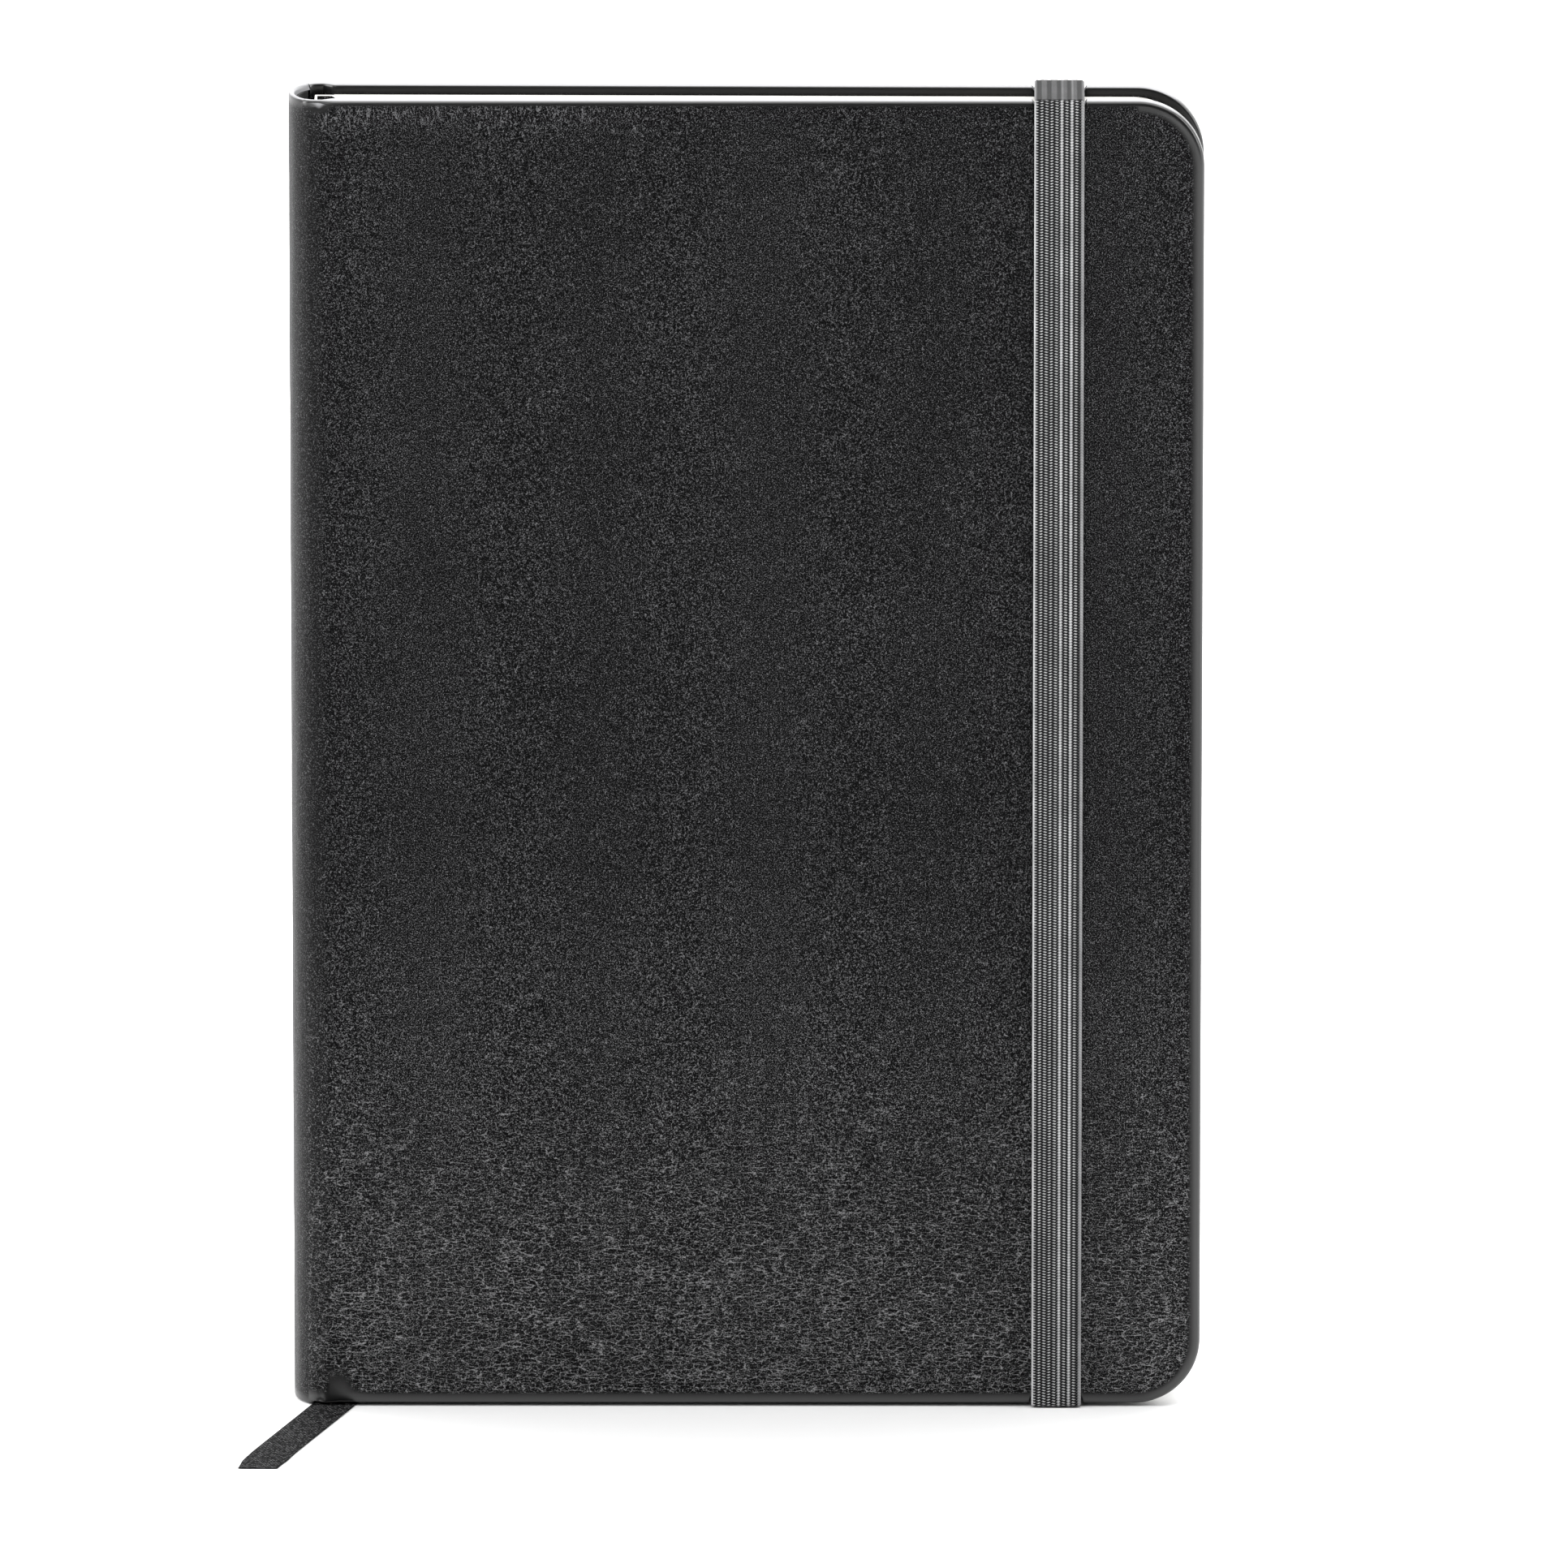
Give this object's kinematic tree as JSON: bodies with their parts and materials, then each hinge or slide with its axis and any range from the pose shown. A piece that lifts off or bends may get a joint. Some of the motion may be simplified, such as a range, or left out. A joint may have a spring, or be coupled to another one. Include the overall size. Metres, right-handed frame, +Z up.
{
  "type": "hardcover sketchbook",
  "caption": "Upright A5 hardcover sketchbook with a leatherette case, sewn sections, an elastic closure and a ribbon bookmark.",
  "frame": {"origin": "on the surface it stands on, under the middle of the closed book", "axes": "+Z up the spine to the head edge, +X from the spine to the fore-edge, and the front cover faces -Y"},
  "size_m": [0.151, 0.0556, 0.2106],
  "materials": {
    "leatherette": "satin grained",
    "board": "matt",
    "paper": "matt",
    "endpaper": "matt",
    "mull": "matt",
    "thread": "matt",
    "elastic": "matt knitted",
    "ribbon": "satin woven"
  },
  "bodies": {
    "back_cover": {"back_cover_leather": "leatherette", "back_board": "board", "back_pastedown": "endpaper", "elastic_end_head": "elastic", "elastic_end_tail": "elastic"},
    "book_block": {"spine_leather": "leatherette", "spine_strip": "board", "spine_mull": "mull", "front_joint_leather": "leatherette", "back_joint_leather": "leatherette", "section_04": "paper", "section_05": "paper", "section_06": "paper", "section_07": "paper", "sewing_thread_1": "thread", "sewing_thread_2": "thread", "sewing_thread_3": "thread", "sewing_thread_4": "thread", "ribbon_bookmark": "ribbon", "ribbon_free_end": "ribbon"},
    "front_cover": {"front_cover_leather": "leatherette", "front_board": "board", "front_pastedown": "endpaper"},
    "elastic_closure": {"elastic_front": "elastic", "elastic_head_turn": "elastic", "elastic_tail_turn": "elastic"},
    "section_01": {"section_01": "paper"},
    "section_02": {"section_02": "paper"},
    "section_03": {"section_03": "paper"},
    "section_08": {"section_08": "paper"},
    "section_09": {"section_09": "paper"},
    "section_10": {"section_10": "paper"},
    "front_flyleaf": {"front_flyleaf": "endpaper"},
    "back_flyleaf": {"back_flyleaf": "endpaper"}
  },
  "joints": [
    {"name": "block_hinge", "type": "hinge", "parent": "back_cover", "child": "book_block", "pos_m": [-0.0665, 0.00825, 0], "axis": [0, 0, -1], "range_deg": [0, 180]},
    {"name": "front_cover_hinge", "type": "hinge", "parent": "book_block", "child": "front_cover", "pos_m": [-0.0665, -0.00825, 0], "axis": [0, 0, -1], "range_deg": [0, 180]},
    {"name": "elastic_release", "type": "slide", "parent": "back_cover", "child": "elastic_closure", "axis": [1, 0, 0], "range_m": [0, 0.03], "deforming": ["elastic_front", "elastic_head_turn", "elastic_tail_turn"]},
    {"name": "section_01_turn", "type": "hinge", "parent": "book_block", "child": "section_01", "pos_m": [-0.06716, -0.0042, 0], "axis": [0, 0, -1], "range_deg": [0, 30]},
    {"name": "section_02_turn", "type": "hinge", "parent": "book_block", "child": "section_02", "pos_m": [-0.06716, -0.0033, 0], "axis": [0, 0, -1], "range_deg": [0, 20]},
    {"name": "section_03_turn", "type": "hinge", "parent": "book_block", "child": "section_03", "pos_m": [-0.06716, -0.0024, 0], "axis": [0, 0, -1], "range_deg": [0, 10]},
    {"name": "section_10_turn", "type": "hinge", "parent": "book_block", "child": "section_10", "pos_m": [-0.06716, 0.0042, 0], "axis": [0, 0, 1], "range_deg": [0, 30]},
    {"name": "section_09_turn", "type": "hinge", "parent": "book_block", "child": "section_09", "pos_m": [-0.06716, 0.0033, 0], "axis": [0, 0, 1], "range_deg": [0, 20]},
    {"name": "section_08_turn", "type": "hinge", "parent": "book_block", "child": "section_08", "pos_m": [-0.06716, 0.0024, 0], "axis": [0, 0, 1], "range_deg": [0, 10]},
    {"name": "front_flyleaf_turn", "type": "hinge", "parent": "section_01", "child": "front_flyleaf", "pos_m": [-0.0645, -0.00477, 0], "axis": [0, 0, -1], "range_deg": [0, 45]},
    {"name": "back_flyleaf_turn", "type": "hinge", "parent": "section_10", "child": "back_flyleaf", "pos_m": [-0.0645, 0.00477, 0], "axis": [0, 0, 1], "range_deg": [0, 45]}
  ],
  "couplings": [
    {"joint": "section_01_turn", "follows": "front_cover_hinge", "ratio": 0.16667},
    {"joint": "section_02_turn", "follows": "front_cover_hinge", "ratio": 0.11111},
    {"joint": "section_03_turn", "follows": "front_cover_hinge", "ratio": 0.055555},
    {"joint": "front_flyleaf_turn", "follows": "front_cover_hinge", "ratio": 0.25},
    {"joint": "section_10_turn", "follows": "block_hinge", "ratio": 0.16667},
    {"joint": "section_09_turn", "follows": "block_hinge", "ratio": 0.11111},
    {"joint": "section_08_turn", "follows": "block_hinge", "ratio": 0.055555},
    {"joint": "back_flyleaf_turn", "follows": "block_hinge", "ratio": 0.25}
  ]
}
